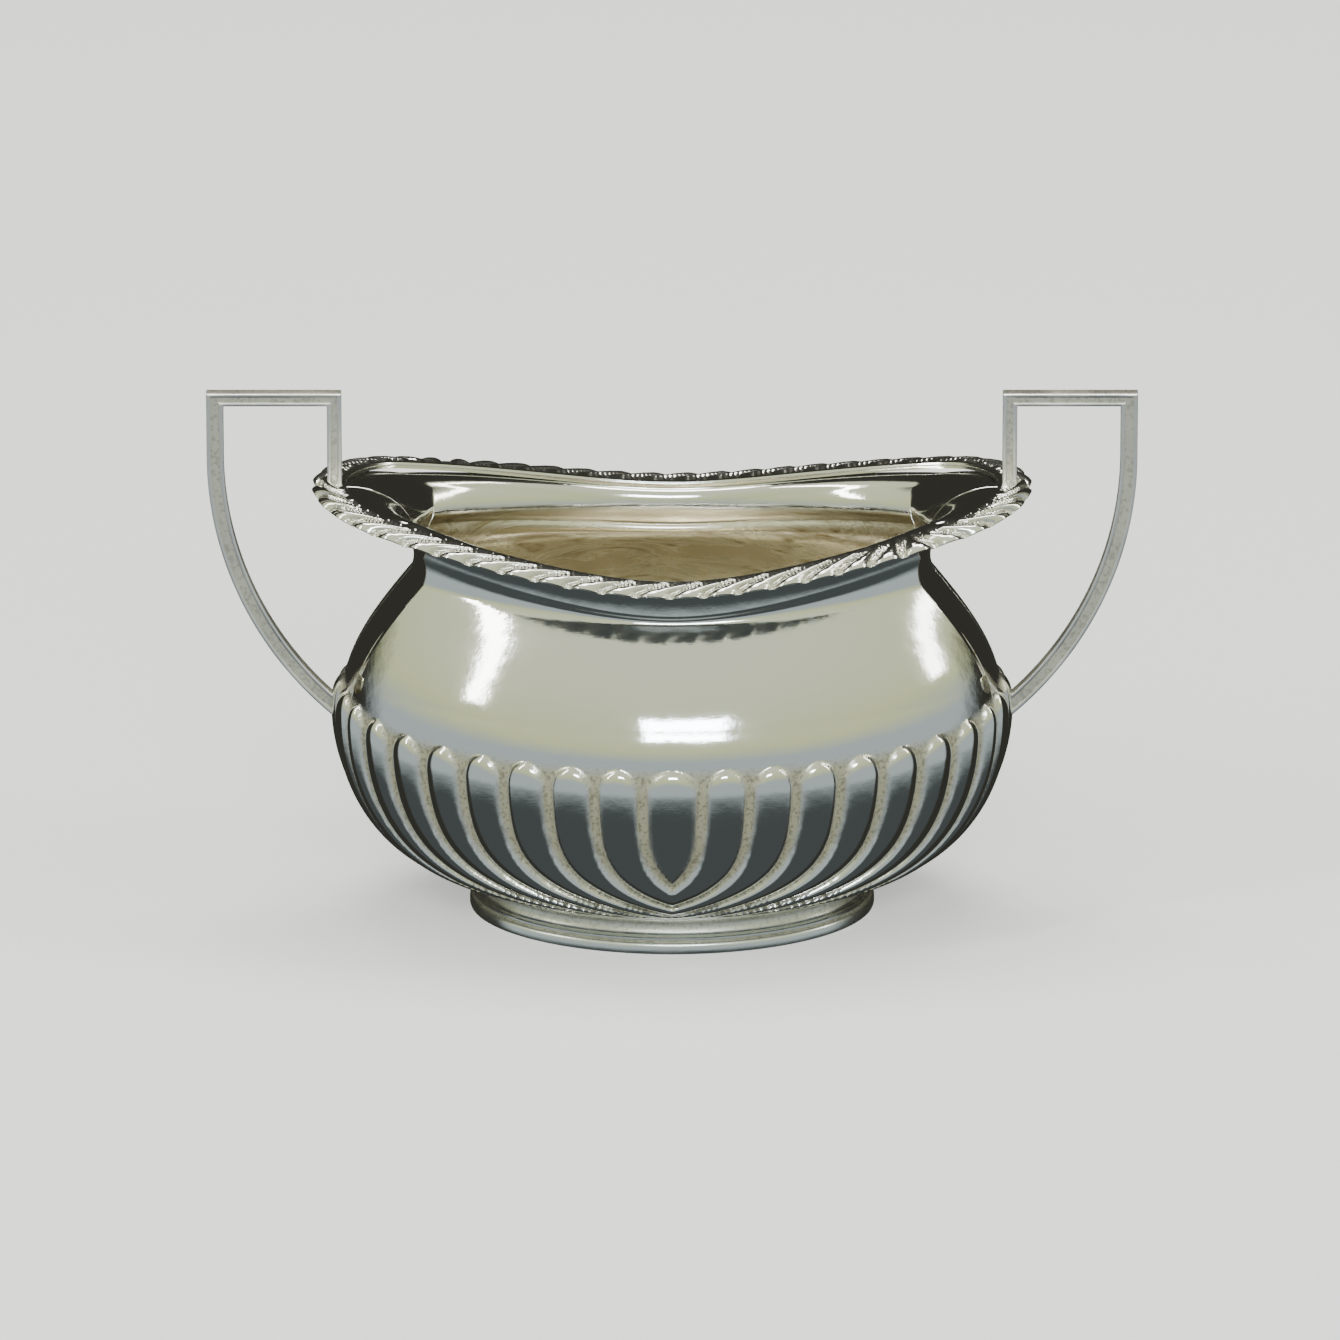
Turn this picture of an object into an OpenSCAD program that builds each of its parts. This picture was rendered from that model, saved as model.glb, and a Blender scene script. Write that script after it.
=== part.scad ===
/* Oval two-handled sugar bowl in sheet silver.
   Origin: centre of the foot's resting plane. +X: towards the right handle. +Z: up. */

/* [Body] */
// Half-length of the body at its widest, over the lobes
body_half_length = 66.3; // [50:0.1:90]
// Half-depth of the body at its widest, over the lobes
body_half_depth = 43.5; // [32:0.1:60]
// Height of the widest level above the top of the foot
widest_rise = 33.5; // [26:0.5:42]
// Thickness of the silver sheet
sheet = 1; // [0.8:0.1:2]
// Distance that each end panel bulges beyond its two corner creases
end_bulge = 2.6; // [1.5:0.1:6]
// Distance of the corner creases from the long axis
crease_offset = 11.5; // [8:0.1:14]

/* [Lobes] */
// Whole lobes between the middle lobe and a corner crease
side_lobes = 8; // [5:1:12]
// Width of the middle lobe of each long side
middle_lobe_width = 12; // [8:0.5:16]
// Depth of the valleys between the lobes
lobe_relief = 1.3; // [0.5:0.1:2]
// Height of the lobe tops above the widest level, at the middle of a long side
lobe_rise_middle = 1.4; // [0.5:0.1:8]
// Height of the lobe tops above the widest level, at the two ends
lobe_rise_end = 7.5; // [4:0.5:16]

/* [Neck] */
// Distance of the neck inside the widest level, at the ends
neck_inset_end = 15.7; // [12:0.1:20]
// Distance of the neck inside the widest level, at the middle of a long side
neck_inset_middle = 16.3; // [12:0.1:20]
// Height of the shoulder above the widest level, at the ends
shoulder_rise = 28.2; // [22:0.1:36]
// Distance that the shoulder's top dips at the middle of each long side
shoulder_dip = 2.6; // [0:0.1:4]
// Height of the neck above the shoulder, at the ends
neck_rise = 5.8; // [5:0.1:9]
// Distance that the narrowest line of the neck dips at the middle of each long side
throat_dip = 6.6; // [3:0.1:7]

/* [Rim] */
// Distance that the gadroon border reaches beyond the neck, at the ends
rim_reach_end = 19.2; // [14:0.1:24]
// Distance that the gadroon border reaches beyond the neck, at the middle of a long side
rim_reach_middle = 8.3; // [7.5:0.1:12]
// Height of the border's crest above the neck, at the ends
rim_rise = 12.3; // [9:0.1:16]
// Distance that the rim dips at the middle of each long side
rim_dip = 10.3; // [8:0.1:12]
// How much smaller the radius of the rim's ends is than its half-depth
end_flattening = 9.5; // [6:0.5:14]
// Gadroons on each half of the border
gadroons = 26; // [12:1:40]
// Depth of the grooves between the gadroons
gadroon_relief = 0.8; // [0.2:0.1:1.4]
// Clearance under the border for the solder
solder_gap = 0.05; // [0.02:0.01:0.2]

/* [Foot] */
// Half-length of the foot at the table
foot_half_length = 39.5; // [25:0.1:55]
// Half-depth of the foot at the table
foot_half_depth = 29.5; // [18:0.1:40]
// Height of the whole foot
foot_height = 7.5; // [4:0.1:12]
// Height of the edge wire under the foot
foot_wire_height = 2.4; // [1.5:0.1:4]

/* [Handles] */
// Distance that each handle reaches beyond the border
handle_reach = 20.2; // [14:0.1:30]
// Height of the top of the handles above the border
handle_rise = 17.9; // [14:0.1:30]
// Width of the upright, seen from the front
upright_width = 2.8; // [2:0.1:5]
// Width of the top bar, seen from the front
bar_width = 2.6; // [2:0.1:5]
// Width of the curved leg, seen from the front
leg_width = 3.3; // [2:0.1:5]
// Depth of the handle strip from front to back
strip_depth = 2.8; // [2:0.1:6]
// Length of the straight part of the leg, from its top
leg_straight = 13.2; // [5:0.1:20]
// Distance of the leg's lower end below the widest level
leg_drop = 1.7; // [0:0.1:4]
// Depth of the channel along the handle's faces
channel_depth = 0.4; // [0.1:0.05:0.8]
// Width of the raised edge on each side of the channel
channel_edge = 0.8; // [0.5:0.05:1.5]

/* [Hidden] */
silver = [0.80, 0.80, 0.78];

// Heights, stacked up from the table
widest_height = foot_height + widest_rise;
lobe_top_middle = widest_height + lobe_rise_middle;
lobe_top_end = widest_height + lobe_rise_end;
shoulder_top_end = widest_height + shoulder_rise;
shoulder_top_middle = shoulder_top_end - shoulder_dip;
throat_end = shoulder_top_end + neck_rise;
throat_middle = throat_end - throat_dip;
rim_height = throat_end + rim_rise;
handle_height = rim_height + handle_rise;
leg_curve_height = handle_height - leg_straight;

// Half-lengths and half-depths, one from the other
neck_half_length = body_half_length - neck_inset_end;
neck_half_depth = body_half_depth - neck_inset_middle;
rim_half_length = neck_half_length + rim_reach_end;
rim_half_depth = neck_half_depth + rim_reach_middle;
handle_end = rim_half_length + handle_reach;

// The border's cross-section, measured inwards from its outer edge
border_width = 6.8;
border_overlap = 3.2;
border_thickness = 1.6;
crest_inset = 4.5;

// The flange ends in a flat seat under the border
flange_edge_inset = border_width - border_overlap;
seat_clearance = 0.4;
seat_inset = border_width + seat_clearance;
flange_top_end = rim_height - border_thickness - solder_gap;

// Lobes are counted from the middle of a long side (0) to the middle of an end
end_panel_lobes = 1.5;
crease_lobe = side_lobes + 0.5;
end_lobe = crease_lobe + end_panel_lobes;
lobe_columns = 4;
side_steps = lobe_columns * end_lobe;
half_lobe = 0.5;

// Circle through both creases and the middle of the long side, at one level
function side_radius(a, b, bulge, cy) = (pow(a - bulge, 2) + pow(b - cy, 2)) / (2 * (b - cy));
function side_angle(a, b, bulge, cy) = asin((a - bulge) / side_radius(a, b, bulge, cy));
// Circle through both creases and the tip of the end panel
function end_radius(bulge, cy) = (pow(cy, 2) + pow(bulge, 2)) / (2 * bulge);
function end_angle(bulge, cy) = asin(cy / end_radius(bulge, cy));

// Share of the way from the middle of a side to its crease, for a lobe count
side_arc = body_half_length - end_bulge;
side_curve = side_radius(body_half_length, body_half_depth, end_bulge, crease_offset);
side_length = side_curve * asin(side_arc / side_curve) * PI / 180;
middle_share = middle_lobe_width / 2 / side_length;
// The lobes crowd together as they come to the crease
crowding = 0.11;
crowding_power = 7;
function crowded(w) = w * (1 + crowding) - crowding * pow(w, crowding_power);
function side_share(lobe) = lobe < half_lobe
    ? middle_share * lobe / half_lobe
    : middle_share + (1 - middle_share) * crowded((lobe - half_lobe) / side_lobes);
function end_share(lobe) = (end_lobe - lobe) / end_panel_lobes;

// Plan point and outward direction on the front right quarter of one level.
// A level is [half-length, half-depth, end bulge, crease offset, ovalness].
function side_point(lv, w) = let (r = side_radius(lv[0], lv[1], lv[2], lv[3]),
    t = w * side_angle(lv[0], lv[1], lv[2], lv[3]))
    [r * sin(t), r - lv[1] - r * cos(t), sin(t), -cos(t)];
function end_point(lv, w) = let (r = end_radius(lv[2], lv[3]),
    t = w * end_angle(lv[2], lv[3]))
    [lv[0] - r + r * cos(t), -r * sin(t), cos(t), -sin(t)];
function oval_point(lv, lobe) = let (t = 90 * lobe / end_lobe,
    n = norm([lv[1] * sin(t), lv[0] * cos(t)]))
    [lv[0] * sin(t), -lv[1] * cos(t), lv[1] * sin(t) / n, -lv[0] * cos(t) / n];
function panel_point(lv, lobe) = lobe <= crease_lobe
    ? side_point(lv, side_share(lobe))
    : end_point(lv, end_share(lobe));
function quarter_point(lv, lobe) = (1 - lv[4]) * panel_point(lv, lobe) + lv[4] * oval_point(lv, lobe);
function plan_point(lv, lobe) = let (p = quarter_point(lv, abs(lobe)), s = sign(lobe))
    [s * p[0], p[1], s * p[2], p[3]];

// Height along a level that dips from its ends to the middle of the side
rise_softness = 0.29;
function rise(w) = (norm([w, rise_softness]) - rise_softness) / (norm([1, rise_softness]) - rise_softness);
function dipped(z_end, z_middle, w) = z_middle + (z_end - z_middle) * w;
function blend(from, to, w) = from + (to - from) * min(1, max(0, w));

// Section lines: [distance out, height], at the end and at the middle of a side
function bowl_line(r_foot, r_wide, steps) = [for (i = [0:steps]) let (t = 90 * i / steps)
    [r_foot + (r_wide - r_foot) * sin(t), foot_height + (widest_height - foot_height) * (1 - cos(t))]];
function shoulder_line(r_wide, r_neck, z_top, z_from, z_to, steps) =
    [for (i = [1:steps]) let (z = z_from + (z_to - z_from) * i / steps,
        t = 90 * (z - widest_height) / (z_top - widest_height))
    [r_neck + (r_wide - r_neck) * cos(t), z]];
function flange_line(r_neck, z_throat, r_seat, z_seat, r_edge, steps) = concat(
    [for (i = [0:steps]) let (t = 90 * i / steps)
        [r_neck + (r_seat - r_neck) * (1 - cos(t)), z_throat + (z_seat - z_throat) * sin(t)]],
    [[r_edge, z_seat]]);
function section_line(r_foot, r_wide, r_neck, z_lobe, z_shoulder, z_throat, r_rim, z_flange) = concat(
    bowl_line(r_foot, r_wide, bowl_steps),
    shoulder_line(r_wide, r_neck, z_shoulder, widest_height, z_lobe, dome_steps),
    shoulder_line(r_wide, r_neck, z_shoulder, z_lobe, z_shoulder, shoulder_steps),
    flange_line(r_neck, z_throat, r_rim - seat_inset, z_flange - sheet,
        r_rim - flange_edge_inset, flange_steps));

bowl_steps = 6;
dome_steps = 2;
shoulder_steps = 4;
flange_steps = 3;
foot_inset = 1;
end_line = section_line(foot_half_length - foot_inset, body_half_length, neck_half_length, lobe_top_end,
    shoulder_top_end, throat_end, rim_half_length, flange_top_end);
middle_line = section_line(foot_half_depth - foot_inset, body_half_depth, neck_half_depth, lobe_top_middle,
    shoulder_top_middle, throat_middle, rim_half_depth, flange_top_end - rim_dip);
rows = len(end_line) - 1;
lobed_rows = bowl_steps + dome_steps;

// The inside of the sheet: each section line moved inwards by its thickness
function inward(line, i) = let (d = line[min(i + 1, len(line) - 1)] - line[max(i - 1, 0)])
    [-d[1], d[0]] / norm(d);
function seat_row(i) = i >= rows - 1;
function inner_line(line) = [for (i = [0:len(line) - 1])
    i == 0 || seat_row(i) ? line[i] + [0, sheet] : line[i] + sheet * inward(line, i)];
inner_end_line = inner_line(end_line);
inner_middle_line = inner_line(middle_line);

// How far a row is from lens-shaped (0) to a plain oval (1)
function ovalness(i) = i < bowl_steps ? pow(1 - i / bowl_steps, 2) : 0;
// Valley depth and dome of the lobes on a row
function row_relief(i) = lobe_relief * min(1, (i + 1) / 2);
function dome(i) = i <= bowl_steps ? 1 : max(0, sqrt(1 - pow((i - bowl_steps) / dome_steps, 2)));
function valley(lobe, i) = i > lobed_rows
    ? row_relief(bowl_steps)
    : row_relief(i) * (1 - dome(i) * abs(cos(180 * lobe)));
// Above the lobes the shoulder runs out to the full section at the neck
function inset_at(lobe, i) = i <= lobed_rows
    ? valley(lobe, i)
    : max(0, row_relief(bowl_steps) * (1 - (i - lobed_rows) / shoulder_steps));

neck_bulge = 2.6;
neck_crease = 10;
// The rim's side and end arcs run into each other; lines inside its edge are parallel to it
rim_end_radius = rim_half_depth - end_flattening;
rim_end_centre = rim_half_length - rim_end_radius;
rim_side_radius = (pow(rim_end_centre, 2) + pow(rim_half_depth, 2) - pow(rim_end_radius, 2))
    / (2 * end_flattening);
rim_turn = atan(rim_end_centre / (rim_side_radius - rim_half_depth));
function rim_bulge(inset) = rim_half_length - inset - (rim_side_radius - inset) * sin(rim_turn);
function rim_crease(inset) = (rim_side_radius - inset) * cos(rim_turn) - rim_side_radius + rim_half_depth;
neck_row = lobed_rows + shoulder_steps;
function flange_inset(i) = i == rows ? flange_edge_inset : seat_inset;
function row_bulge(i) = i <= neck_row
    ? blend(end_bulge, neck_bulge, (i - bowl_steps) / (neck_row - bowl_steps))
    : blend(neck_bulge, rim_bulge(flange_inset(i)), (i - neck_row - 1) / flange_steps);
function row_crease(i) = i <= neck_row
    ? blend(crease_offset, neck_crease, (i - bowl_steps) / (neck_row - bowl_steps))
    : blend(neck_crease, rim_crease(flange_inset(i)), (i - neck_row - 1) / flange_steps);

// The lobe tops stay level along the side and rise only as they come to the ends
lobe_top_power = 12;
function row_rise(i, w) = blend(pow(w, lobe_top_power), rise(w), (i - lobed_rows) / shoulder_steps);

function body_vertex(e, m, i, lobe, relief) = let (
    lv = [e[0], m[0], row_bulge(i), row_crease(i), ovalness(i)],
    p = plan_point(lv, lobe),
    d = relief * inset_at(lobe, i))
    [p[0] - d * p[2], p[1] - d * p[3], dipped(e[1], m[1], row_rise(i, min(1, abs(p[0]) / e[0])))];
columns = 2 * side_steps;
function lobe_of(j) = (j - side_steps) / lobe_columns;
// The lobes are shallower on the inside of the sheet
inner_relief = 0.6;
function body_row(e, m, i, relief) = [for (j = [0:columns]) body_vertex(e, m, i, lobe_of(j), relief)];

// One half of the shell: an outer skin, an inner skin and the edges between them
module half_body() {
    width = columns + 1;
    outer = [for (i = [0:rows]) each body_row(end_line[i], middle_line[i], i, 1)];
    inner = [for (i = [0:rows]) each body_row(inner_end_line[i], inner_middle_line[i], i, inner_relief)];
    first_inner = len(outer);
    outer_floor = 2 * first_inner;
    inner_floor = outer_floor + 1;
    floor_points = [[0, 0, foot_height], [0, 0, foot_height + sheet]];
    skin = [for (i = [0:rows - 1], j = [0:columns - 1]) let (a = i * width + j)
        each [[a, a + width, a + width + 1], [a, a + width + 1, a + 1]]];
    lining = [for (f = skin) [f[2], f[1], f[0]] + first_inner * [1, 1, 1]];
    floor_outer = [for (j = [0:columns - 1]) [outer_floor, j, j + 1]];
    floor_inner = [for (j = [0:columns - 1]) [inner_floor, first_inner + j + 1, first_inner + j]];
    lip = [for (j = [0:columns - 1]) let (a = rows * width + j)
        each [[a, a + first_inner, a + first_inner + 1], [a, a + first_inner + 1, a + 1]]];
    left = [for (i = [0:rows - 1]) let (a = i * width)
        each [[a, a + first_inner, a + first_inner + width], [a, a + first_inner + width, a + width]]];
    right = [for (i = [0:rows - 1]) let (a = i * width + columns)
        each [[a, a + width, a + first_inner + width], [a, a + first_inner + width, a + first_inner]]];
    floor_left = [[outer_floor, inner_floor, first_inner], [outer_floor, first_inner, 0]];
    floor_right = [[outer_floor, columns, first_inner + columns],
        [outer_floor, first_inner + columns, inner_floor]];
    polyhedron(points = concat(outer, inner, floor_points),
        faces = concat(skin, lining, floor_outer, floor_inner, lip, left, right, floor_left, floor_right));
}

module body_front() color(silver) half_body();

module body_back() color(silver) mirror([0, 1, 0]) half_body();

// Border section: [inwards from the outer edge, down from the crest, share of the groove]
edge_drop = 0.7;
edge_round = 0.4;
inner_lean = 0.1;
lobe_inset = 1.8;
lobe_drop = 0.3;
bead_drop = 1.1;
crest_groove = 0.3;
lobe_groove = 0.8;
border_section = [[border_width, border_thickness, 0], [border_width - inner_lean, edge_drop, 0],
    [crest_inset, 0, crest_groove], [lobe_inset, lobe_drop, lobe_groove], [edge_round, edge_drop, 1],
    [0, bead_drop, 1], [edge_round, border_thickness, lobe_groove]];
gadroon_columns = lobe_columns * gadroons;
// The grooves run down the crown and die out at the flat underside
groove_fall = 0.6;
function gadroon_groove(j) = gadroon_relief * (1 - abs(cos(180 * j / lobe_columns)));
// Point and outward direction at an even share of the way along a line parallel to the rim
rim_side_length = rim_side_radius * rim_turn;
rim_end_length = rim_end_radius * (90 - rim_turn);
function rim_point(inset, share) = let (
    s = abs(share) * (rim_side_length + rim_end_length),
    on_side = s <= rim_side_length,
    t = on_side ? s / rim_side_radius : rim_turn + (s - rim_side_length) / rim_end_radius,
    r = (on_side ? rim_side_radius : rim_end_radius) - inset,
    centre = on_side ? [0, rim_side_radius - rim_half_depth] : [rim_end_centre, 0])
    [sign(share) * (centre[0] + r * sin(t)), centre[1] - r * cos(t), sign(share) * sin(t), -cos(t)];
function border_vertex(s, j) = let (
    p = rim_point(s[0], 2 * j / gadroon_columns - 1),
    d = s[2] * gadroon_groove(j),
    w = rise(min(1, abs(p[0]) / (rim_half_length - s[0]))),
    fall = groove_fall * (1 - s[1] / border_thickness))
    [p[0] - d * p[2], p[1] - d * p[3],
        dipped(rim_height, rim_height - rim_dip, w) - s[1] - d * s[2] * fall];

module half_border() {
    ring = len(border_section);
    points = [for (j = [0:gadroon_columns], s = border_section) border_vertex(s, j)];
    last = gadroon_columns * ring;
    sides = [for (j = [0:gadroon_columns - 1], k = [0:ring - 1]) let (a = j * ring + k,
        b = j * ring + (k + 1) % ring)
        each [[a, b, b + ring], [a, b + ring, a + ring]]];
    start = [[for (k = [ring - 1:-1:0]) k]];
    finish = [[for (k = [0:ring - 1]) last + k]];
    polyhedron(points = points, faces = concat(sides, start, finish));
}

module gadroon_border_front() color(silver) half_border();

module gadroon_border_back() color(silver) mirror([0, 1, 0]) half_border();

// Foot: an oval, and lines parallel to it
foot_wire_width = 2.6;
cove_inset = 2.3;
collet_wall = 1.4;
collet_inner = cove_inset + collet_wall;
step_height = 1;
cove_middle = (foot_height + foot_wire_height + step_height) / 2;
foot_columns = 72;
function foot_point(offset, t) = let (a = foot_half_length, b = foot_half_depth,
    n = norm([b * cos(t), a * sin(t)]))
    [(a + offset * b / n) * cos(t), (b + offset * a / n) * sin(t)];
function foot_oval(offset) = [for (i = [0:foot_columns - 1]) foot_point(offset, 360 * i / foot_columns)];

module foot_wire() color(silver) linear_extrude(foot_wire_height) difference() {
    polygon(foot_oval(0));
    polygon(foot_oval(-foot_wire_width));
}

// The collet's section: [outwards from the foot's edge, height]
collet_section = concat(
    [[-collet_inner, foot_wire_height], [-foot_inset, foot_wire_height]],
    [for (t = [-90:30:90]) [-foot_inset - (cove_inset - foot_inset) * cos(t),
        cove_middle + (foot_height - cove_middle) * sin(t)]],
    [[-collet_inner, foot_height]]);

module foot_collet() {
    ring = len(collet_section);
    count = foot_columns * ring;
    points = [for (i = [0:foot_columns - 1], s = collet_section)
        [each foot_point(s[0], 360 * i / foot_columns), s[1]]];
    faces = [for (i = [0:foot_columns - 1], k = [0:ring - 1]) let (a = i * ring + k,
        b = i * ring + (k + 1) % ring, c = (b + ring) % count, d = (a + ring) % count)
        each [[a, b, c], [a, c, d]]];
    color(silver) polyhedron(points = points, faces = faces);
}

// Handles: three channelled strips that meet in mitres
upright_centre = rim_half_length - crest_inset;
upright_inner = upright_centre - upright_width / 2;
upright_outer = upright_centre + upright_width / 2;
leg_fall = leg_curve_height - widest_height + leg_drop;
leg_swing = handle_end - body_half_length;
leg_radius = (pow(leg_fall, 2) + pow(leg_swing, 2)) / (2 * leg_swing);
leg_centre = [handle_end - leg_radius, leg_curve_height];
leg_inner_radius = leg_radius - leg_width;
bar_bottom = handle_height - bar_width;

cut_overrun = 1;
leg_steps = 32;
function leg_arc(r, x_end) = let (sweep = acos((x_end - leg_centre[0]) / r))
    [for (i = [0:leg_steps]) leg_centre + r * [cos(sweep * i / leg_steps), -sin(sweep * i / leg_steps)]];
function reversed(points) = [for (i = [len(points) - 1:-1:0]) points[i]];

module strip(outline, channel) {
    rotate([90, 0, 0]) difference() {
        translate([0, 0, -strip_depth / 2]) linear_extrude(strip_depth) polygon(outline);
        for (z = [strip_depth / 2 - channel_depth, -strip_depth / 2 - cut_overrun])
            translate([0, 0, z]) linear_extrude(channel_depth + cut_overrun) polygon(channel);
    }
}

module upright() {
    e = channel_edge;
    foot = rim_height - cut_overrun;
    strip([[upright_inner, rim_height], [upright_outer, rim_height], [upright_outer, bar_bottom],
            [upright_inner, handle_height]],
        [[upright_inner + e, foot], [upright_outer - e, foot],
            [upright_outer - e, bar_bottom + e], [upright_inner + e, handle_height - e]]);
}

module bar() {
    e = channel_edge;
    strip([[upright_inner, handle_height], [upright_outer, bar_bottom],
            [handle_end - leg_width, bar_bottom], [handle_end, handle_height]],
        [[upright_inner + e, handle_height - e], [upright_outer - e, bar_bottom + e],
            [handle_end - leg_width + e, bar_bottom + e], [handle_end - e, handle_height - e]]);
}

module leg() {
    e = channel_edge;
    past_end = body_half_length - cut_overrun;
    strip(concat([[handle_end - leg_width, bar_bottom]], leg_arc(leg_inner_radius, body_half_length),
            reversed(leg_arc(leg_radius, body_half_length)), [[handle_end, handle_height]]),
        concat([[handle_end - leg_width + e, bar_bottom + e]], leg_arc(leg_inner_radius + e, past_end),
            reversed(leg_arc(leg_radius - e, past_end)), [[handle_end - e, handle_height - e]]));
}

module handle_left_upright() color(silver) mirror([1, 0, 0]) upright();

module handle_left_bar() color(silver) mirror([1, 0, 0]) bar();

module handle_left_leg() color(silver) mirror([1, 0, 0]) leg();

module handle_right_upright() color(silver) upright();

module handle_right_bar() color(silver) bar();

module handle_right_leg() color(silver) leg();

body_front();
body_back();
gadroon_border_front();
gadroon_border_back();
foot_collet();
foot_wire();
handle_left_upright();
handle_left_bar();
handle_left_leg();
handle_right_upright();
handle_right_bar();
handle_right_leg();
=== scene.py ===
"""Oval silver sugar bowl: half-lobed body, gadroon border, gilt inside and two strip handles."""
import math

import bmesh
import bpy
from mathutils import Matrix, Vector


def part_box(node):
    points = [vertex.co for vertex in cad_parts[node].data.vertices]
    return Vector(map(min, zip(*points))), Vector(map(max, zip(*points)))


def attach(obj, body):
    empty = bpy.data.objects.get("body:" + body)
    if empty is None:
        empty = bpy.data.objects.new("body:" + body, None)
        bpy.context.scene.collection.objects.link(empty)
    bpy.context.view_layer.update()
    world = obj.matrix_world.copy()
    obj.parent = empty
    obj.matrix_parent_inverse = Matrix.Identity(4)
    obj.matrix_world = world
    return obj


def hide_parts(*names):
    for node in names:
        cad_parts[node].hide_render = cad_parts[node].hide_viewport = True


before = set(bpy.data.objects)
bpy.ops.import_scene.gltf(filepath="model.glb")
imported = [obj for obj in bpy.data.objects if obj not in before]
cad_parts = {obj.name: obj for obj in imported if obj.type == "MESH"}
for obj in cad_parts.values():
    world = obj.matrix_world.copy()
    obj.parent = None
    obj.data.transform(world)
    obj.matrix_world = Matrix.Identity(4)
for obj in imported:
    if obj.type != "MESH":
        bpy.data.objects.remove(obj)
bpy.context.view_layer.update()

MM = 0.001
# Vertices closer than this are one
MERGE = 0.002


def reach(node, axis, side=1):
    """How far a CAD node reaches along one axis, in millimetres."""
    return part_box(node)[side][axis] / MM


# ---------------------------------------------------------------- sizes (mm)
body_a = reach("body_front", 0)
body_b = -reach("body_front", 1, 0)
flange_z = reach("body_front", 2)
foot_top = reach("body_front", 2, 0)
rim_a = reach("gadroon_border_front", 0)
rim_b = -reach("gadroon_border_front", 1, 0)
rim_z = reach("gadroon_border_front", 2)
foot_a = reach("foot_wire", 0)
foot_b = reach("foot_wire", 1)
wire_z = reach("foot_wire", 2)
handle_a = reach("handle_right_leg", 0)
handle_z = reach("handle_right_bar", 2)
bar_z = reach("handle_right_bar", 2, 0)
upright_in = reach("handle_right_upright", 0, 0)
upright_out = reach("handle_right_upright", 0)
strip_y = reach("handle_right_bar", 1)

SHEET = 1.0
WIDEST_Z = 41.0
END_BULGE = 2.6
CREASE_Y = 11.5
NECK_A, NECK_B = 50.6, 27.2
NECK_BULGE, NECK_CREASE = 2.6, 10.0
SHOULDER_END, SHOULDER_MID = 69.2, 66.6
THROAT_END, THROAT_MID = 75.0, 68.4
RIM_DIP = 10.3
RIM_END_R = rim_b - 9.5
RISE_SOFTNESS = 0.29
BORDER_WIDTH = 6.8
BORDER_OVERLAP = 3.2
CREST_INSET = 4.5
SEAT_INSET = BORDER_WIDTH + 0.4
FOOT_INSET = 1.0

LOBE_RELIEF = 1.6
LOBE_WIDTH = 0.84
LOBE_TOP_MID, LOBE_TOP_END = 42.4, 48.5
LOBE_TOP_POWER = 12
CROWDING, CROWDING_POWER = 0.11, 7
SIDE_LOBES = 8
MIDDLE_LOBE = 12.0
CREASE_LOBE = SIDE_LOBES + 0.5
END_LOBE = CREASE_LOBE + 1.5
LOBE_SPREAD = 0.06
DOME = 5.0
# The relief of the lobes fades down to this share of itself over this height above the foot
FADE_HEIGHT, FADE_LEAST = 5, 0.35
SWEEP, SWEEP_POWER = 0.33, 6

GADROONS = 26
GADROON_COLUMNS, SECTION_ROWS = 28, 4
GADROON_RELIEF = 1.15
SLANT = 1.5
SLANT_TURN = 9
TURN_X = 46.0


def mix(a, b, w):
    return a + (b - a) * w


def clamp(w):
    return min(1.0, max(0.0, w))


def smooth(w):
    w = clamp(w)
    return w * w * (3 - 2 * w)


# ---------------------------------------------------------------- plan of the oval
def side_arc(a, b, bulge, cy):
    r = ((a - bulge) ** 2 + (b - cy) ** 2) / (2 * (b - cy))
    return r, math.asin((a - bulge) / r)


def end_arc(bulge, cy):
    r = (cy ** 2 + bulge ** 2) / (2 * bulge)
    return r, math.asin(min(1.0, cy / r))


def middle_share():
    r, angle = side_arc(body_a, body_b, END_BULGE, CREASE_Y)
    return MIDDLE_LOBE / 2 / (r * angle)


MIDDLE_SHARE = middle_share()


def side_share(lobe):
    if lobe < 0.5:
        return MIDDLE_SHARE * lobe / 0.5
    w = (lobe - 0.5) / SIDE_LOBES
    return MIDDLE_SHARE + (1 - MIDDLE_SHARE) * (w * (1 + CROWDING) - CROWDING * w ** CROWDING_POWER)


def plan(lobe, a, b, bulge, cy, oval):
    """Point and outward direction on the front of one level, for a lobe count from the middle."""
    q = abs(lobe)
    if q <= CREASE_LOBE:
        r, angle = side_arc(a, b, bulge, cy)
        t = angle * side_share(q)
        x, y, nx, ny = r * math.sin(t), r - b - r * math.cos(t), math.sin(t), -math.cos(t)
    else:
        r, angle = end_arc(bulge, cy)
        t = angle * (END_LOBE - q) / (END_LOBE - CREASE_LOBE)
        x, y, nx, ny = a - r + r * math.cos(t), -r * math.sin(t), math.cos(t), -math.sin(t)
    if oval > 0:
        t = math.pi / 2 * q / END_LOBE
        ox, oy = b * math.sin(t), -a * math.cos(t)
        n = math.hypot(ox, oy)
        x, y = mix(x, a * math.sin(t), oval), mix(y, -b * math.cos(t), oval)
        nx, ny = mix(nx, ox / n, oval), mix(ny, oy / n, oval)
    n = math.hypot(nx, ny)
    s = -1 if lobe < 0 else 1
    return s * x, y, s * nx / n, ny / n


RIM_SIDE_R = ((rim_a - RIM_END_R) ** 2 + rim_b ** 2 - RIM_END_R ** 2) / (2 * (rim_b - RIM_END_R))
RIM_TURN = math.atan2(rim_a - RIM_END_R, RIM_SIDE_R - rim_b)


def rim_shape(inset):
    """Plan of the rim, inside its outer edge: side and end arcs that run into each other."""
    r = RIM_SIDE_R - inset
    return (rim_a - inset, rim_b - inset, rim_a - inset - r * math.sin(RIM_TURN),
            r * math.cos(RIM_TURN) - RIM_SIDE_R + rim_b)


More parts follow.
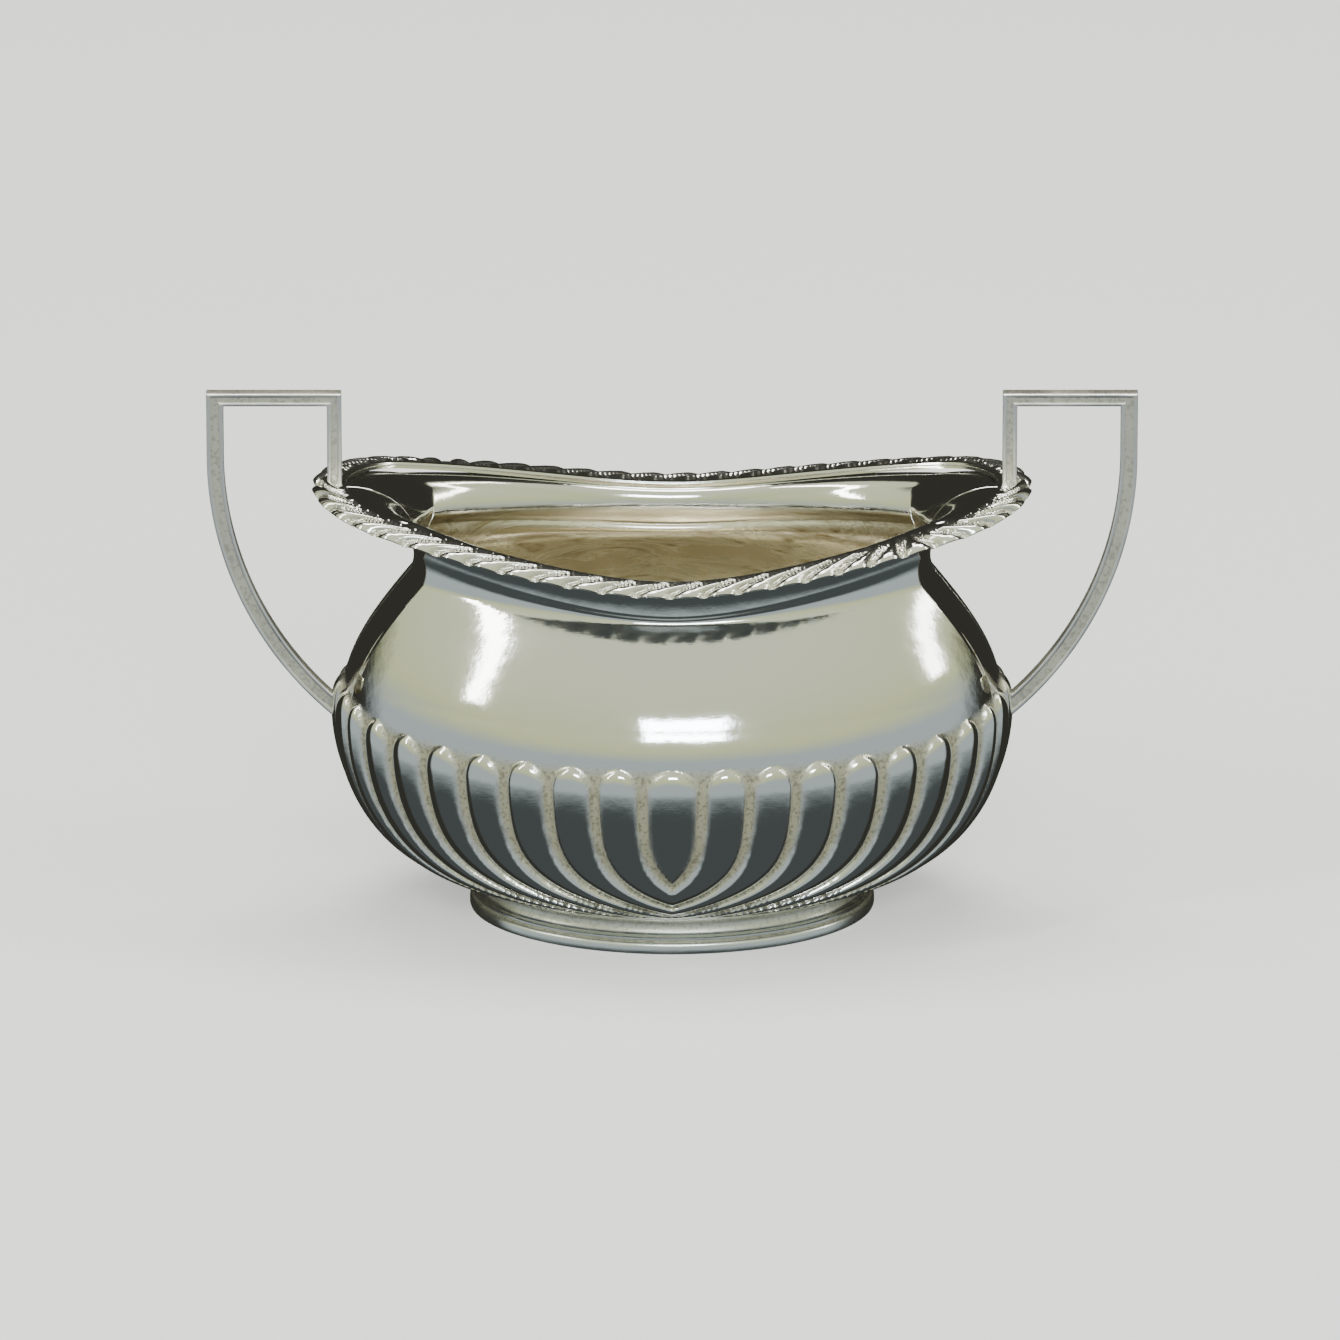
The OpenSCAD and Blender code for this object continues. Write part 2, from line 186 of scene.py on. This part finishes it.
def rim_point(inset, way):
    """Point and outward direction on a line inside the rim's edge, at a share from -1 to 1."""
    side = RIM_SIDE_R * RIM_TURN
    s = abs(way) * (side + RIM_END_R * (math.pi / 2 - RIM_TURN))
    if s <= side:
        t, cx, cy, r = s / RIM_SIDE_R, 0.0, RIM_SIDE_R - rim_b, RIM_SIDE_R - inset
    else:
        t, cx, cy, r = RIM_TURN + (s - side) / RIM_END_R, rim_a - RIM_END_R, 0.0, RIM_END_R - inset
    flip = -1 if way < 0 else 1
    return flip * (cx + r * math.sin(t)), cy - r * math.cos(t), flip * math.sin(t), -math.cos(t)


def dipped(z_end, z_mid, x, a):
    """Height along a level that dips from its two ends to the middle of the side."""
    w, k = min(1.0, abs(x) / a), RISE_SOFTNESS
    return mix(z_mid, z_end, (math.hypot(w, k) - k) / (math.hypot(1, k) - k))


def lobe_top(x):
    return mix(LOBE_TOP_MID, LOBE_TOP_END, min(1.0, abs(x) / body_a) ** LOBE_TOP_POWER)


# ---------------------------------------------------------------- mesh helpers
def grid_piece(columns, rows, place, closed=False):
    """A grid with its vertices placed by a rule, doubles merged and faces turned outwards."""
    bm = bmesh.new()
    bmesh.ops.create_grid(bm, x_segments=columns, y_segments=rows, size=0.5)
    # The groove mask marks the hollows where the silver material paints in pale reflected light
    groove = bm.verts.layers.float.new("groove")
    for v in bm.verts:
        x, y, z, g = place(v.co.x + 0.5, v.co.y + 0.5)
        v.co = Vector((x, y, z)) * MM
        v[groove] = g
    bmesh.ops.remove_doubles(bm, verts=bm.verts, dist=MERGE * MM)
    if closed:
        bmesh.ops.holes_fill(bm, edges=[e for e in bm.edges if e.is_boundary], sides=0)
    bmesh.ops.recalc_face_normals(bm, faces=bm.faces)
    outward = sum(f.normal.xy.dot(f.calc_center_median().xy) for f in bm.faces)
    if not closed and outward < 0:
        bmesh.ops.reverse_faces(bm, faces=bm.faces)
    return bm


def finish_piece(name, bm, materials, nodes, smooth_angle):
    mesh = bpy.data.meshes.new(name)
    for f in bm.faces:
        f.smooth = True
    for e in bm.edges:
        if e.is_manifold and e.calc_face_angle() > smooth_angle:
            e.smooth = False
    bm.to_mesh(mesh)
    bm.free()
    piece = bpy.data.objects.new(name, mesh)
    bpy.context.scene.collection.objects.link(piece)
    for m in materials:
        mesh.materials.append(m)
    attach(piece, "root")
    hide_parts(*nodes)
    return piece


def mirrored(bm, x=1, y=1):
    """Turns a finished half into its mirror image."""
    bmesh.ops.scale(bm, vec=(x, y, 1), verts=bm.verts)
    if x * y < 0:
        bmesh.ops.reverse_faces(bm, faces=bm.faces)
    return bm


# ---------------------------------------------------------------- body shell
FLOOR_ROWS, BOWL_ROWS, SHOULDER_ROWS, NECK_ROWS, FLANGE_ROWS, SEAT_ROWS = 5, 84, 26, 6, 20, 3
BODY_ROWS = FLOOR_ROWS + BOWL_ROWS + SHOULDER_ROWS + NECK_ROWS + FLANGE_ROWS + SEAT_ROWS
BODY_COLUMNS = 320
TOP_ROW_Z = LOBE_TOP_END + 0.5
# Share of the bowl's rows that lie below its widest level
BOWL_SHARE = 0.72


def shoulder_level(z_end, z_mid):
    te = math.pi / 2 * (z_end - WIDEST_Z) / (SHOULDER_END - WIDEST_Z)
    tm = math.pi / 2 * (z_mid - WIDEST_Z) / (SHOULDER_MID - WIDEST_Z)
    return mix(NECK_A, body_a, math.cos(te)), z_end, mix(NECK_B, body_b, math.cos(tm)), z_mid


def body_level(row):
    """End radius and height, middle radius and height, and the plan's shape for one row."""
    if row <= FLOOR_ROWS:
        w = row / FLOOR_ROWS
        return (w * (foot_a - FOOT_INSET), foot_top, w * (foot_b - FOOT_INSET), foot_top,
                END_BULGE, CREASE_Y, 1, 0)
    row -= FLOOR_ROWS
    if row <= BOWL_ROWS:
        # The first rows climb the lower bowl, and the rest run up past the lobes' tops
        w = row / BOWL_ROWS
        climb = clamp(w / BOWL_SHARE)
        t = math.pi / 2 * climb
        if w <= BOWL_SHARE:
            z = foot_top + (WIDEST_Z - foot_top) * (1 - math.cos(t))
            a = foot_a - FOOT_INSET + (body_a - foot_a + FOOT_INSET) * math.sin(t)
            b = foot_b - FOOT_INSET + (body_b - foot_b + FOOT_INSET) * math.sin(t)
            return a, z, b, z, END_BULGE, CREASE_Y, (1 - climb) ** 2, 0
        z = mix(WIDEST_Z, TOP_ROW_Z, (w - BOWL_SHARE) / (1 - BOWL_SHARE))
        a, ze, b, zm = shoulder_level(z, z)
        return a, ze, b, zm, END_BULGE, CREASE_Y, 0, 0
    row -= BOWL_ROWS
    if row <= SHOULDER_ROWS:
        w = row / SHOULDER_ROWS
        a, ze, b, zm = shoulder_level(mix(TOP_ROW_Z, SHOULDER_END, w),
                                      mix(TOP_ROW_Z, SHOULDER_MID, w))
        return a, ze, b, zm, mix(END_BULGE, NECK_BULGE, w), mix(CREASE_Y, NECK_CREASE, w), 0, w
    row -= SHOULDER_ROWS
    if row <= NECK_ROWS:
        w = row / NECK_ROWS
        cove = 0.5 * math.sin(math.pi * w)
        return (NECK_A - cove, mix(SHOULDER_END, THROAT_END, w),
                NECK_B - cove, mix(SHOULDER_MID, THROAT_MID, w), NECK_BULGE, NECK_CREASE, 0, 1)
    row -= NECK_ROWS
    seat_a, seat_b, seat_bulge, seat_crease = rim_shape(SEAT_INSET)
    seat_z = flange_z - SHEET
    if row <= FLANGE_ROWS:
        w = row / FLANGE_ROWS
        t = math.pi / 2 * w
        return (mix(NECK_A, seat_a, 1 - math.cos(t)), mix(THROAT_END, seat_z, math.sin(t)),
                mix(NECK_B, seat_b, 1 - math.cos(t)),
                mix(THROAT_MID, seat_z - RIM_DIP, math.sin(t)),
                mix(NECK_BULGE, seat_bulge, w), mix(NECK_CREASE, seat_crease, w), 0, 1)
    w = (row - FLANGE_ROWS) / SEAT_ROWS
    a, b, bulge, crease = rim_shape(mix(SEAT_INSET, BORDER_WIDTH - BORDER_OVERLAP, w))
    return a, seat_z, b, seat_z - RIM_DIP, bulge, crease, 0, 1


def lobe_shape(lobe, x, z):
    """Height of the half-round lobes above the flat valleys between them, from 0 to 1."""
    share = abs(lobe) / END_LOBE
    top = lobe_top(x)
    down = clamp((top - z) / (top - foot_top))
    sweep = SWEEP * down ** SWEEP_POWER * (1 + 3 * share) * (1 - share) ** 1.5
    phase = (share + sweep) * END_LOBE
    width = LOBE_WIDTH + LOBE_SPREAD * down
    side = 2 * abs(phase - round(phase)) / width
    up = max(0.0, (z - top + DOME) / DOME)
    return math.sqrt(max(0.0, 1 - side * side - up * up))


def body_point(u, w):
    row = round(w * BODY_ROWS)
    lobe = (2 * u - 1) * END_LOBE
    a, ze, b, zm, bulge, cy, oval, above = body_level(row)
    if a < 1e-6:
        return 0.0, 0.0, ze, 0.0
    x, y, nx, ny = plan(lobe, a, b, min(bulge, a * 0.9), min(cy, b * 0.5), oval)
    z = dipped(ze, zm, x, a)
    if row <= FLOOR_ROWS:
        return x, y, z, 0.0
    if row > FLOOR_ROWS + BOWL_ROWS:
        inset = LOBE_RELIEF * (1 - above)
        return x - inset * nx, y - inset * ny, z, 0.0
    height = lobe_shape(lobe, x, z)
    fade = smooth((z - foot_top) / FADE_HEIGHT) * (1 - FADE_LEAST) + FADE_LEAST
    top = lobe_top(x)
    inset = LOBE_RELIEF * fade * (1 - height)
    groove = (1 - smooth(height / 0.62)) * smooth((top + 1 - z) / 3)
    return x - inset * nx, y - inset * ny, z, groove


# ---------------------------------------------------------------- gadroon border
# Section, from the inner foot over the crown to the underside: inwards, down, share of the relief
SECTION = [(BORDER_WIDTH, 1.6, 0), (BORDER_WIDTH, 0.8, 0), (BORDER_WIDTH - 0.2, 0.4, 0),
           (BORDER_WIDTH - 0.9, 0.3, 0), (BORDER_WIDTH - 1.4, 0.2, 0.35), (CREST_INSET, 0.0, 0.7),
           (3.2, 0.0, 1), (2.0, 0.1, 1), (1.0, 0.35, 1), (0.4, 0.7, 1), (0.0, 1.15, 1),
           (0.15, 1.45, 0.8), (0.5, 1.6, 0.5), (3.0, 1.6, 0)]


def section_point(w):
    """A point on the rounded section of the border: inwards, down, share of the relief."""
    k = w * len(SECTION)
    i = int(k) % len(SECTION)
    j = (i + 1) % len(SECTION)
    f = k - int(k)
    p, q = SECTION[i], SECTION[j]
    return mix(p[0], q[0], f), mix(p[1], q[1], f), mix(p[2], q[2], f)


def motif(phase, outer):
    """A bold lobe and fine reeds, 0 in a groove and 1 on a crest. The reeds die out at the edge."""
    p = phase - math.floor(phase)
    bold = mix(0.5, 0.86, outer)
    if p < bold:
        return math.sin(math.pi * p / bold) ** 0.55
    reed = (p - bold) / (1 - bold) * (3 if outer < 0.6 else 1)
    return mix(0.75, 0.2, outer) * abs(math.sin(math.pi * reed)) ** 0.6


def border_point(u, w):
    inwards, down, share = section_point(w)
    way = 2 * u - 1
    x, y, nx, ny = rim_point(inwards, way)
    z = dipped(rim_z, rim_z - RIM_DIP, x, rim_a - inwards)
    outer = clamp(1 - inwards / CREST_INSET)
    slant = SLANT * math.tanh((TURN_X - x) / SLANT_TURN)
    phase = way * GADROONS / 2 - slant * (1 - outer) ** 1.5
    height = motif(phase, outer)
    d = share * GADROON_RELIEF * (1 - height)
    inset = d * mix(0.3, 0.9, outer)
    return x - inset * nx, y - inset * ny, z - down - d * 0.75, share * (1 - height) ** 2 * 0.8


# ---------------------------------------------------------------- colours and nodes
def srgb(code):
    """Turns an sRGB hex colour to linear."""
    parts = [int(code[i:i + 2], 16) / 255 for i in (1, 3, 5)]
    return [c / 12.92 if c <= 0.04045 else ((c + 0.055) / 1.055) ** 2.4 for c in parts] + [1.0]


def node(tree, kind, inputs=None, **settings):
    """Adds a node, links the inputs that are other nodes' outputs, and returns its outputs."""
    made = tree.nodes.new(kind)
    for key, value in settings.items():
        setattr(made, key, value)
    for socket, value in (inputs or {}).items():
        if isinstance(value, bpy.types.NodeSocket):
            tree.links.new(value, made.inputs[socket])
        else:
            made.inputs[socket].default_value = value
    return made.outputs


def metal(name):
    """A bare metal to build a finish on: the material, its node tree and its shader."""
    m = bpy.data.materials.new(name)
    m.use_nodes = True
    shader = m.node_tree.nodes["Principled BSDF"]
    shader.inputs["Metallic"].default_value = 1.0
    return m, m.node_tree, shader


def silver(name, tone, rough, scratch, matt):
    """Sterling silver, polished by hand for a century: mirror crests with hair-fine scratches,
    and grooves painted a pale matt cream as a painted reflection of the light the hollows catch,
    with dark tarnish specks that the cloth never reached."""
    m, tree, shader = metal(name)
    place = node(tree, "ShaderNodeTexCoord")["Object"]
    groove = node(tree, "ShaderNodeAttribute", attribute_name="groove")["Fac"]
    cloud = node(tree, "ShaderNodeTexNoise", {"Vector": place, "Scale": 1 / (9 * MM),
                                              "Detail": 4.0})[0]
    speck = node(tree, "ShaderNodeTexNoise", {"Vector": place, "Scale": 1 / (0.7 * MM),
                                              "Detail": 3.0})[0]
    stretch = node(tree, "ShaderNodeMapping", {"Vector": place, "Rotation": (0.3, 0.2, 0.5),
                                               "Scale": (0.25, 1.0, 3.0)})[0]
    hair = node(tree, "ShaderNodeTexNoise", {"Vector": stretch, "Scale": 1 / (0.5 * MM),
                                             "Detail": 5.0})[0]
    # The grooves are painted pale and matt as a painted reflection of the light the hollows catch,
    # and darkened here and there by tarnish specks
    spots = node(tree, "ShaderNodeMapRange", {"Value": speck, "From Min": 0.5, "From Max": 0.62,
                                              "To Max": 0.45})[0]
    spots = node(tree, "ShaderNodeMath", {0: spots, 1: groove}, operation="MULTIPLY")[0]
    # Painted reflection: the colour is mixed towards pale cream in the grooves to stand in for the
    # light they catch
    painted_groove_light = node(tree, "ShaderNodeMix", {0: groove, 6: srgb(tone), 7: srgb("#c6c1a8")},
                 data_type="RGBA")[2]
    colour = node(tree, "ShaderNodeMix", {0: spots, 6: painted_groove_light, 7: srgb("#3f3828")},
                  data_type="RGBA")[2]
    tree.links.new(colour, shader.inputs["Base Color"])
    # Painted light: the grooves are made less metallic so their pale painted colour shows as
    # brightness
    metallic_share = node(tree, "ShaderNodeMath", {0: groove, 1: -0.3, 2: 1.0}, operation="MULTIPLY_ADD")[0]
    tree.links.new(metallic_share, shader.inputs["Metallic"])
    worn = node(tree, "ShaderNodeMapRange", {"Value": cloud, "From Min": 0.35, "From Max": 0.7,
                                             "To Min": rough * 0.75, "To Max": rough * 1.35})[0]
    dull = node(tree, "ShaderNodeMath", {0: groove, 1: matt, 2: worn}, operation="MULTIPLY_ADD")[0]
    tree.links.new(dull, shader.inputs["Roughness"])
    fine = node(tree, "ShaderNodeBump", {"Height": hair, "Strength": scratch,
                                         "Distance": 0.02 * MM})[0]
    soft = node(tree, "ShaderNodeBump", {"Height": cloud, "Normal": fine, "Strength": 0.25,
                                         "Distance": 0.4 * MM})[0]
    tree.links.new(soft, shader.inputs["Normal"])
    return m


def gilt(name):
    """Fire-gilt inside of the bowl: pale worn gold with brown tide marks left by damp sugar."""
    m, tree, shader = metal(name)
    place = node(tree, "ShaderNodeTexCoord")["Object"]
    stretch = node(tree, "ShaderNodeMapping", {"Vector": place, "Scale": (0.5, 1.0, 1.5)})[0]
    tide = node(tree, "ShaderNodeTexNoise", {"Vector": stretch, "Scale": 1 / (13 * MM),
                                             "Detail": 8.0, "Roughness": 0.66,
                                             "Distortion": 1.6})[0]
    edge = node(tree, "ShaderNodeMapRange", {"Value": tide, "From Min": 0.5, "From Max": 0.66})[0]
    colour = node(tree, "ShaderNodeMix", {0: edge, 6: srgb("#f2ecd8"), 7: srgb("#94804f")},
                  data_type="RGBA")[2]
    tree.links.new(colour, shader.inputs["Base Color"])
    dull = node(tree, "ShaderNodeMapRange", {"Value": tide, "From Min": 0.4, "From Max": 0.6,
                                             "To Min": 0.2, "To Max": 0.4})[0]
    tree.links.new(dull, shader.inputs["Roughness"])
    return m


# ---------------------------------------------------------------- pieces
body_silver = silver("polished_silver_sheet", "#eeede6", rough=0.09, scratch=0.22, matt=0.42)
border_silver = silver("cast_silver_border", "#efeee6", rough=0.14, scratch=0.2, matt=0.2)
foot_silver = silver("worn_silver_foot", "#eeefe8", rough=0.24, scratch=0.35, matt=0.25)
strip_silver = silver("silver_strip", "#fbf7f1", rough=0.36, scratch=0.3, matt=0.1)
gilt_wash = gilt("fire_gilding")


def build_body(name, back, nodes):
    bm = grid_piece(BODY_COLUMNS, BODY_ROWS, body_point)
    # The lining takes the material after the outside's: gilt below the throat, silver above it
    for f in bm.faces:
        c = f.calc_center_median() / MM
        f.material_index = 2 if c.z > dipped(THROAT_END, THROAT_MID, c.x, NECK_A) else 0
    if back:
        mirrored(bm, y=-1)
    finishes = [body_silver, gilt_wash, body_silver, body_silver]
    piece = finish_piece(name, bm, finishes, nodes, smooth_angle=0.7)
    wall = piece.modifiers.new("sheet", "SOLIDIFY")
    wall.thickness = SHEET * MM
    wall.offset = -1
    wall.use_rim = True
    wall.material_offset = 1
    wall.material_offset_rim = 0
    return piece


def build_border(name, back, nodes):
    bm = grid_piece(GADROONS * GADROON_COLUMNS, len(SECTION) * SECTION_ROWS, border_point,
                    closed=True)
    if back:
        mirrored(bm, x=-1, y=-1)
    return finish_piece(name, bm, [border_silver], nodes, smooth_angle=0.9)


build_body("body_front_shell", False, ["body_front"])
build_body("body_back_shell", True, ["body_back"])
build_border("gadroon_front", False, ["gadroon_border_front"])
build_border("gadroon_back", True, ["gadroon_border_back"])

# ---------------------------------------------------------------- foot


def foot_line(offset, t):
    """A point on a line parallel to the foot's oval edge."""
    c, s = math.cos(t), math.sin(t)
    n = math.hypot(foot_b * c, foot_a * s)
    return (foot_a + offset * foot_b / n) * c, (foot_b + offset * foot_a / n) * s


def along(points, w):
    """A point on a closed or open run of listed points, for a share of the way."""
    k = w * (len(points) - 1)
    i = min(int(k), len(points) - 2)
    return [mix(p, q, k - i) for p, q in zip(points[i], points[i + 1])]


FOOT_COLUMNS = 192
# Sections of the two foot rings: outwards from the foot's edge, and height
cove = [(-FOOT_INSET - 1.3 * math.cos(t), 5.2 + 1.9 * math.sin(t)) for t in
        [math.radians(-90 + 15 * i) for i in range(13)]]
collet_line = ([(-3.7, wire_z), (-0.9, wire_z), (-0.75, wire_z + 0.15), (-0.75, wire_z + 0.7)]
               + cove + [(-FOOT_INSET, foot_top), (-3.7, foot_top), (-3.7, wire_z)])
wire_line = [(-2.6, 0.15), (-2.45, 0), (-0.35, 0), (-0.1, 0.1), (0, 0.4), (0, 1.5), (-0.12, 1.95),
             (-0.4, 2.25), (-0.8, wire_z), (-2.45, wire_z), (-2.6, wire_z - 0.15), (-2.6, 0.15)]


def build_foot(name, line, nodes):
    def place(u, w):
        offset, z = along(line, w)
        x, y = foot_line(offset, 2 * math.pi * u)
        return x, y, z, 0.5 if offset < -2 or abs(z - wire_z) < 0.2 else 0.0
    bm = grid_piece(FOOT_COLUMNS, (len(line) - 1) * 2, place, closed=True)
    return finish_piece(name, bm, [foot_silver], nodes, smooth_angle=0.8)


build_foot("foot_collet_piece", collet_line, ["foot_collet"])
build_foot("foot_wire_piece", wire_line, ["foot_wire"])

# ---------------------------------------------------------------- handles
LEG_WIDTH = 3.3
CURVE_Z = handle_z - 13.2
LEG_DROP = 1.7
swing, fall = handle_a - body_a, CURVE_Z - WIDEST_Z + LEG_DROP
LEG_R = (fall ** 2 + swing ** 2) / (2 * swing)
CHANNEL = 0.35
# How far each upright is sunk into the border, and each leg into the body
SUNK, LEG_SUNK = 0.6, 0.3
# How far a strip runs on past its mitre before it is cut
OVERRUN = 1
STRAIGHT_STEPS, BEND_STEPS = 6, 72


def strip_section(bm, width, place):
    """The channelled strip's outline as one face: across its width, and from front to back."""
    e, d, r = 0.75, strip_y, 0.22
    half = [(0, -d + r), (0.3 * r, -d + 0.3 * r), (r, -d), (e - 0.25, -d), (e, -d + 0.08),
            (e + 0.12, -d + CHANNEL)]
    front = half + [(width - s, y) for s, y in reversed(half)]
    back = [(s, -y) for s, y in reversed(front)]
    verts = [bm.verts.new(place(s, y)) for s, y in front + back]
    return bm.faces.new(verts)


def drawn_out(bm, face, way):
    """Extrudes the outline along a straight run and returns the new end face."""
    for step in range(STRAIGHT_STEPS):
        made = bmesh.ops.extrude_face_region(bm, geom=[face])["geom"]
        if step:
            bmesh.ops.delete(bm, geom=[face], context="FACES_ONLY")
        face = next(g for g in made if isinstance(g, bmesh.types.BMFace))
        bmesh.ops.translate(bm, vec=Vector(way) * MM / STRAIGHT_STEPS, verts=face.verts)
    return face


def mitred(bm, place, normal):
    """Cuts away what lies past a plane and closes the cut."""
    geom = bm.verts[:] + bm.edges[:] + bm.faces[:]
    cut = bmesh.ops.bisect_plane(bm, geom=geom, plane_co=Vector(place) * MM, plane_no=normal,
                                 clear_outer=True)
    edges = [g for g in cut["geom_cut"] if isinstance(g, bmesh.types.BMEdge)]
    bmesh.ops.holes_fill(bm, edges=[e for e in edges if e.is_boundary], sides=0)


MITRE_IN = ((upright_in, 0, handle_z), (handle_z - bar_z, 0, upright_out - upright_in))
MITRE_OUT = ((handle_a, 0, handle_z), (handle_z - bar_z, 0, -LEG_WIDTH))


def upright_strip(bm):
    face = strip_section(bm, upright_out - upright_in,
                         lambda s, y: Vector((upright_in + s, y, rim_z - SUNK)) * MM)
    drawn_out(bm, face, (0, 0, handle_z - rim_z + 2 * OVERRUN))
    mitred(bm, MITRE_IN[0], Vector(MITRE_IN[1]))


def bar_strip(bm):
    face = strip_section(bm, handle_z - bar_z,
                         lambda s, y: Vector((upright_in - OVERRUN, y, handle_z - s)) * MM)
    drawn_out(bm, face, (handle_a - upright_in + 2 * OVERRUN, 0, 0))
    mitred(bm, MITRE_IN[0], -Vector(MITRE_IN[1]))
    mitred(bm, MITRE_OUT[0], Vector(MITRE_OUT[1]))


def leg_strip(bm):
    face = strip_section(bm, LEG_WIDTH,
                         lambda s, y: Vector((handle_a - s, y, handle_z + OVERRUN)) * MM)
    face = drawn_out(bm, face, (0, 0, CURVE_Z - handle_z - OVERRUN))
    centre = handle_a - LEG_R
    bmesh.ops.spin(bm, geom=[face], cent=Vector((centre, 0, CURVE_Z)) * MM, axis=(0, 1, 0),
                   steps=BEND_STEPS,
                   angle=math.acos((body_a - LEG_SUNK - centre) / LEG_R) + 0.03)
    if face.is_valid:
        bmesh.ops.delete(bm, geom=[face], context="FACES_ONLY")
    mitred(bm, MITRE_OUT[0], -Vector(MITRE_OUT[1]))
    mitred(bm, (body_a - LEG_SUNK, 0, 0), (-1, 0, 0))


def build_strip(name, shape, left, nodes):
    bm = bmesh.new()
    shape(bm)
    # The channel bottoms join the groove mask, where the silver material paints in pale reflected
    # light
    groove = bm.verts.layers.float.new("groove")
    for v in bm.verts:
        v[groove] = 0.6 if abs(v.co.y) < (strip_y - CHANNEL / 2) * MM else 0.0
    bmesh.ops.remove_doubles(bm, verts=bm.verts, dist=MERGE * MM)
    bmesh.ops.recalc_face_normals(bm, faces=bm.faces)
    if left:
        mirrored(bm, x=-1)
    return finish_piece(name, bm, [strip_silver], nodes, smooth_angle=0.5)


for side in ("left", "right"):
    for part, shape in (("upright", upright_strip), ("bar", bar_strip), ("leg", leg_strip)):
        build_strip(f"{side}_{part}_strip", shape, side == "left", [f"handle_{side}_{part}"])

# ---------------------------------------------------------------- camera
PITCH = math.radians(20)
DISTANCE = 3.0
VIEW_WIDTH = 0.2605
SENSOR = 36
target = Vector((-0.0004, 0, 0.048))
camera_data = bpy.data.cameras.new("camera")
camera = bpy.data.objects.new("camera", camera_data)
bpy.context.scene.collection.objects.link(camera)
camera_data.sensor_width = SENSOR
camera_data.lens = SENSOR * DISTANCE / VIEW_WIDTH
camera.location = target + DISTANCE * Vector((0, -math.cos(PITCH), math.sin(PITCH)))
camera.rotation_euler = (math.pi / 2 - PITCH, 0, 0)
camera_data.clip_start = 0.01
bpy.context.scene.camera = camera

# ---------------------------------------------------------------- stage and light


def plain(name, code, rough=0.8, glow=0.0):
    m = bpy.data.materials.new(name)
    m.use_nodes = True
    shader = m.node_tree.nodes["Principled BSDF"]
    shader.inputs["Base Color"].default_value = srgb(code)
    shader.inputs["Roughness"].default_value = rough
    if glow:
        shader.inputs["Emission Color"].default_value = srgb(code)
        shader.inputs["Emission Strength"].default_value = glow
    return m


def card(name, size, place, turn, material, unseen=True):
    bm = bmesh.new()
    bmesh.ops.create_grid(bm, x_segments=1, y_segments=1, size=0.5)
    bmesh.ops.scale(bm, vec=(size[0], size[1], 1), verts=bm.verts)
    mesh = bpy.data.meshes.new(name)
    bm.to_mesh(mesh)
    bm.free()
    obj = bpy.data.objects.new(name, mesh)
    obj.location = place
    obj.rotation_euler = turn
    mesh.materials.append(material)
    bpy.context.scene.collection.objects.link(obj)
    if unseen:
        obj.visible_camera = False
        obj.visible_diffuse = False
        obj.visible_shadow = False
    return obj


floor = card("floor", (6, 6), (0, 0, 0), (0, 0, 0),
             plain("pale_floor", "#fbfbfa", rough=0.9, glow=0.45), unseen=False)
floor.visible_glossy = False

# The room: a pale ceiling, a cooler level band, a dark bench below and a dim wall behind the bowl
ROOM_STRENGTH = 1.12
world = bpy.data.worlds.new("studio")
bpy.context.scene.world = world
world.use_nodes = True
sky = world.node_tree
way = node(sky, "ShaderNodeSeparateXYZ", {0: node(sky, "ShaderNodeTexCoord")["Generated"]})
low = node(sky, "ShaderNodeMapRange", {"Value": way[2], "From Min": -0.5, "From Max": -0.34})[0]
level = node(sky, "ShaderNodeMapRange", {"Value": way[2], "From Min": 0.02, "From Max": 0.24})[0]
high = node(sky, "ShaderNodeMapRange", {"Value": way[2], "From Min": 0.2, "From Max": 0.95})[0]
ceiling = node(sky, "ShaderNodeMix", {0: high, 6: srgb("#d0d8ac"), 7: srgb("#e4e8d4")},
               data_type="RGBA")[2]
above = node(sky, "ShaderNodeMix", {0: level, 6: srgb("#aebbc0"), 7: ceiling}, data_type="RGBA")[2]
room = node(sky, "ShaderNodeMix", {0: low, 6: srgb("#454b4d"), 7: above}, data_type="RGBA")[2]
back = node(sky, "ShaderNodeMapRange", {"Value": way[1], "From Min": 0.0, "From Max": 0.12})[0]
under = node(sky, "ShaderNodeMapRange", {"Value": way[2], "From Min": 0.95, "From Max": 0.88})[0]
behind = node(sky, "ShaderNodeMath", {0: back, 1: under}, operation="MULTIPLY")[0]
seen = node(sky, "ShaderNodeMix", {0: behind, 6: room, 7: srgb("#33332f")}, data_type="RGBA")[2]
sky.links.new(seen, sky.nodes["Background"].inputs["Color"])
sky.nodes["Background"].inputs["Strength"].default_value = ROOM_STRENGTH


def window(name, way, distance, size, power, code="#ffffff"):
    """A tall soft light, facing the bowl from one direction."""
    data = bpy.data.lights.new(name, "AREA")
    data.shape = "RECTANGLE"
    data.size, data.size_y = size
    data.energy = power
    data.color = srgb(code)[:3]
    light = bpy.data.objects.new(name, data)
    light.location = Vector((0, 0, 0.05)) + distance * Vector(way).normalized()
    light.rotation_euler = (-Vector(way)).to_track_quat("-Z", "Y").to_euler()
    bpy.context.scene.collection.objects.link(light)
    return light


window("left_window", (-0.67, -0.38, 0.63), 1.2, (0.1, 0.8), 3)
window("right_window", (0.8, -0.1, 0.55), 1.2, (0.1, 0.8), 2)
window("front_window", (0.05, -0.75, 0.42), 1.3, (0.5, 0.22), 6, "#e6f0ff")
window("roof_light", (0.0, 0.25, 0.97), 1.4, (0.9, 0.5), 12)
